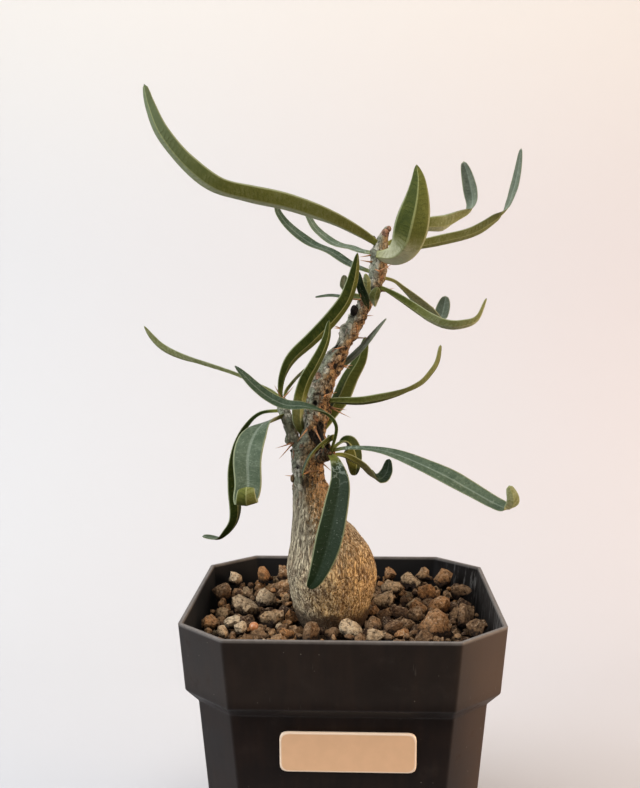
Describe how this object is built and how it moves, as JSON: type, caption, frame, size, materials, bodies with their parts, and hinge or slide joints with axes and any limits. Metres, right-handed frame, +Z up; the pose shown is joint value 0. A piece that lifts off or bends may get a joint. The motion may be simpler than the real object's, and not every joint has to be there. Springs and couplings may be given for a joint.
{
  "type": "potted pachypodium succulentum",
  "caption": "Small caudex plant with a swollen base, a knobbly thorned stem and slender curling leaves, growing in coarse gravel in a dark square plastic pot with cut corners.",
  "frame": {"origin": "centre of the pot's underside, on the surface that the pot stands on", "axes": "+Z up along the stem, -Y towards the pot side that carries the name plate, +X to the right seen from that side"},
  "size_m": [0.1251, 0.1, 0.2585],
  "materials": {
    "pot_plastic": "dark brown-black moulded plastic, half matt, with dust and fine scratches",
    "plate": "bare peach-beige plastic plate with a paler edge",
    "gravel": "dull porous grains in brown, orange-brown, beige and grey",
    "bark": "cracked tan bark below, rough silver-grey and orange-brown bark above",
    "leaf": "waxy leaf, blue-green above and olive below, with a pale midrib"
  },
  "bodies": {
    "root": {"pot": "pot_plastic", "name_plate": "plate", "gravel": "gravel", "stem": "bark", "leaf_top_left": "leaf", "leaf_left_dark": "leaf", "leaf_left_grey": "leaf", "leaf_top_front": "leaf", "leaf_top_back": "leaf", "leaf_right_long": "leaf", "leaf_right_curl": "leaf", "leaf_right_low": "leaf", "leaf_thin_left": "leaf", "leaf_small_grey": "leaf", "leaf_small_dark": "leaf", "leaf_stub": "leaf", "leaf_small_olive": "leaf", "leaf_tall_left": "leaf", "leaf_crotch": "leaf", "leaf_thin_grey": "leaf", "leaf_right_back": "leaf", "leaf_right_thin": "leaf", "leaf_right_mid": "leaf", "leaf_far_left": "leaf", "leaf_loop": "leaf", "leaf_hang_back": "leaf", "leaf_hang_wide": "leaf", "leaf_broad_right": "leaf", "leaf_hang_front": "leaf", "leaf_short_wide": "leaf", "leaf_twist": "leaf", "leaf_narrow_front": "leaf"}
  },
  "joints": []
}
